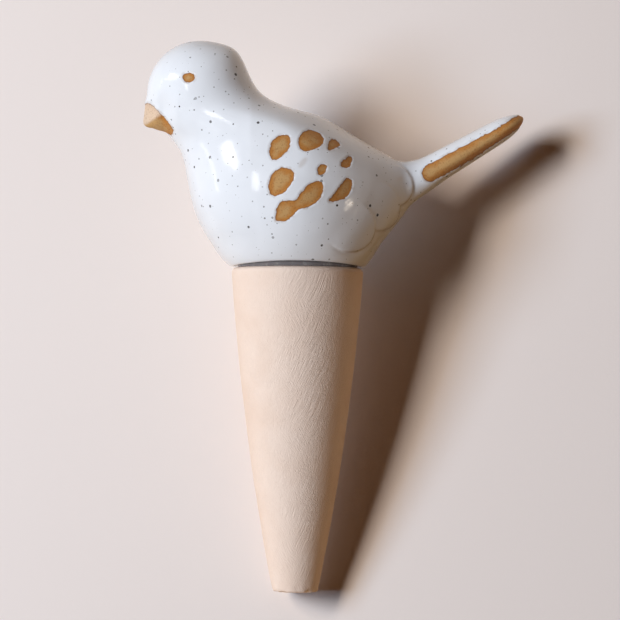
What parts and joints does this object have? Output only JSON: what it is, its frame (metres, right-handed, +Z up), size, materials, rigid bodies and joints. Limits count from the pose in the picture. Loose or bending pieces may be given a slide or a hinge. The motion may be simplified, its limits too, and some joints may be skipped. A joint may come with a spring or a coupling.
{
  "type": "self watering spike",
  "caption": "Hollow glazed ceramic bird on a soft hollow stopper that plugs into a porous clay spike, which seeps the bird's water into a plant pot's soil.",
  "frame": {"origin": "centre of the clay spike's mouth, in the plane of its rim, which stands at soil level", "axes": "+Z up along the spike's axis, -X the way the bird looks, +X towards its tail, XZ the plane that each piece is mirrored in"},
  "size_m": [0.1168, 0.054, 0.1686],
  "materials": {
    "glazed_stoneware": "gloss",
    "grey_silicone": "satin",
    "bare_clay": "matte"
  },
  "bodies": {
    "spike": {"spike": "bare_clay"},
    "stopper": {"stopper": "grey_silicone"},
    "bird": {"bird_body": "glazed_stoneware"}
  },
  "joints": [
    {"name": "stopper_lift", "type": "slide", "parent": "spike", "child": "stopper", "axis": [0, 0, 1], "range_m": [0, 0.04]},
    {"name": "bird_turn", "type": "hinge", "parent": "stopper", "child": "bird", "pos_m": [0, 0, 0], "axis": [0, 0, 1], "continuous": true}
  ]
}
